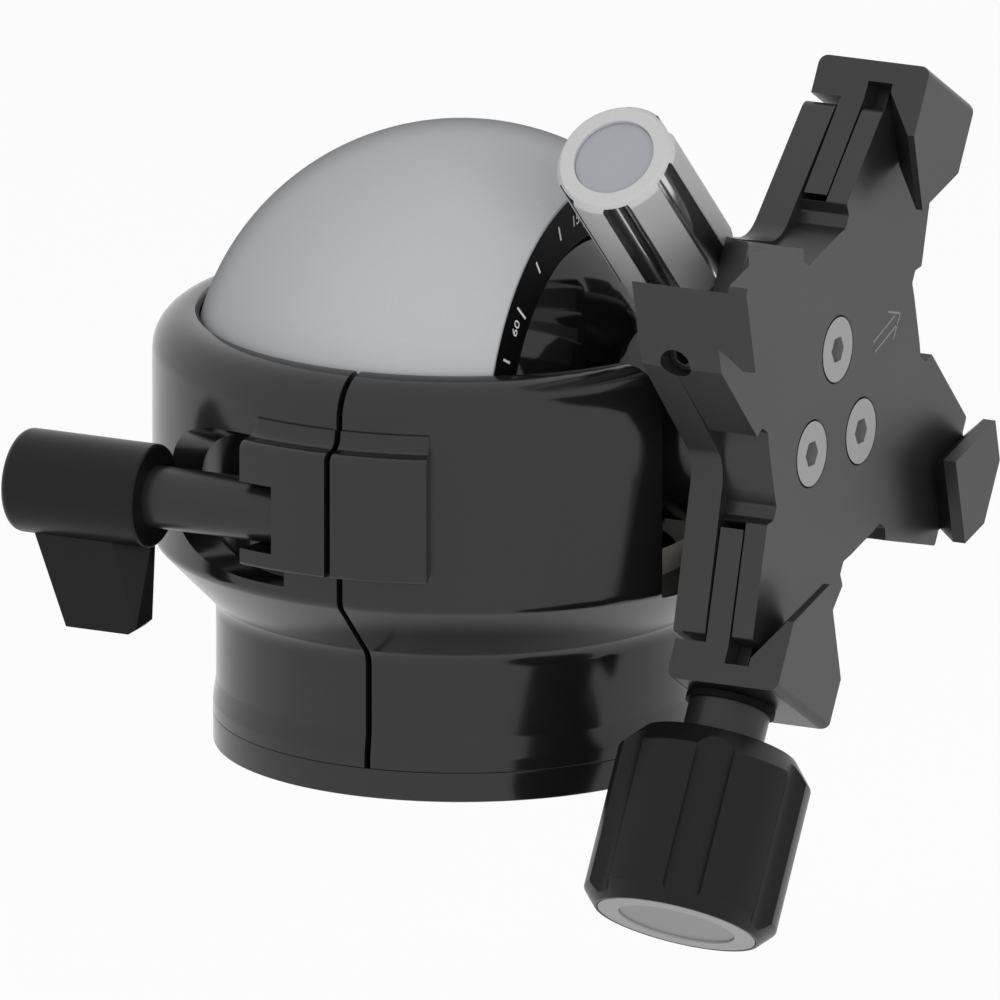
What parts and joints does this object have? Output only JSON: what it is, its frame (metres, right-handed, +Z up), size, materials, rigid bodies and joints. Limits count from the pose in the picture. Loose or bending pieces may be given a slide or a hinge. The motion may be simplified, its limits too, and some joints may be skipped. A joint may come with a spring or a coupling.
{
  "type": "ball head",
  "caption": "Tripod ball head: split round housing with a drop notch, large hollow ball holding an inner ball, and a turning cross clamp with sliding dovetail jaws.",
  "frame": {"origin": "centre of the tripod socket on the base's underside", "axes": "+Z up out of the base, +X through the drop notch, where the neck lies at rest"},
  "size_m": [0.1011, 0.0826, 0.1041],
  "materials": {
    "base_plate": "black anodised",
    "base_screws": "satin",
    "housing": "black anodised",
    "seat_ring": "smooth",
    "lever_handle": "satin",
    "lever_screw": "blackened",
    "outer_ball": "fine matt anodised",
    "ball_retainer": "turned",
    "scale_ring": "matt",
    "centring_plunger": "turned",
    "centring_spring": "satin",
    "inner_ball": "glossy black",
    "lock_collar": "black anodised",
    "lock_knob": "clear anodised",
    "lock_screw": "satin",
    "lock_disc": "satin",
    "clamp_back": "black anodised",
    "clamp_cover": "black anodised",
    "cover_screws": "satin",
    "arm_set_screw": "blackened",
    "jaw_upper": "black anodised",
    "jaw_lower": "black anodised",
    "lead_screw": "blackened",
    "knob": "satin",
    "knob_ring": "satin",
    "knob_disc": "satin",
    "stem_washer": "matt"
  },
  "bodies": {
    "base": {"base_plate": "base_plate", "base_screws": "base_screws", "housing": "housing", "seat_ring": "seat_ring"},
    "lever": {"lever_handle": "lever_handle", "lever_screw": "lever_screw"},
    "ball": {"outer_ball": "outer_ball", "ball_retainer": "ball_retainer", "scale_ring": "scale_ring", "centring_plunger": "centring_plunger", "centring_spring": "centring_spring"},
    "neck": {"inner_ball": "inner_ball", "lock_collar": "lock_collar"},
    "lock": {"lock_knob": "lock_knob", "lock_screw": "lock_screw", "lock_disc": "lock_disc"},
    "clamp": {"clamp_back": "clamp_back", "clamp_cover": "clamp_cover", "cover_screws": "cover_screws", "arm_set_screw": "arm_set_screw"},
    "upper": {"jaw_upper": "jaw_upper"},
    "lower": {"jaw_lower": "jaw_lower"},
    "screw": {"lead_screw": "lead_screw", "knob": "knob", "knob_ring": "knob_ring", "knob_disc": "knob_disc", "stem_washer": "stem_washer"}
  },
  "joints": [
    {"name": "lever_turn", "type": "hinge", "parent": "base", "child": "lever", "pos_m": [0, -0.0376, 0.0372], "axis": [-1, 0, 0], "range_deg": [0, 100]},
    {"name": "ball_tilt", "type": "hinge", "parent": "base", "child": "ball", "pos_m": [0, 0, 0.0448], "axis": [0, -1, 0], "range_deg": [0, 105]},
    {"name": "inner_tilt", "type": "hinge", "parent": "ball", "child": "neck", "pos_m": [0, 0, 0.0448], "axis": [0, -1, 0], "range_deg": [-3, 3], "stiffness_Nm_per_rad": 4},
    {"name": "lock_turn", "type": "hinge", "parent": "neck", "child": "lock", "pos_m": [0.0319, 0.00892, 0.05398], "axis": [0, -0.7169, 0.6972], "range_deg": [-90, 180]},
    {"name": "clamp_pan", "type": "hinge", "parent": "neck", "child": "clamp", "pos_m": [0.04, 0, 0.0448], "axis": [1, 0, 0], "range_deg": [-90, 180]},
    {"name": "upper_slide", "type": "slide", "parent": "clamp", "child": "upper", "axis": [0, 0.521, 0.8536], "range_m": [-0.00075, 0.003]},
    {"name": "lower_slide", "type": "slide", "parent": "clamp", "child": "lower", "axis": [0, -0.521, -0.8536], "range_m": [-0.00075, 0.003]},
    {"name": "knob_turn", "type": "hinge", "parent": "lower", "child": "screw", "pos_m": [0.0468, -0.0208, 0.0107], "axis": [0, -0.521, -0.8536], "range_deg": [-540, 2160]}
  ],
  "couplings": [
    {"joint": "upper_slide", "follows": "lower_slide", "ratio": 1},
    {"joint": "knob_turn", "follows": "lower_slide", "rad_per_m": 12566}
  ]
}
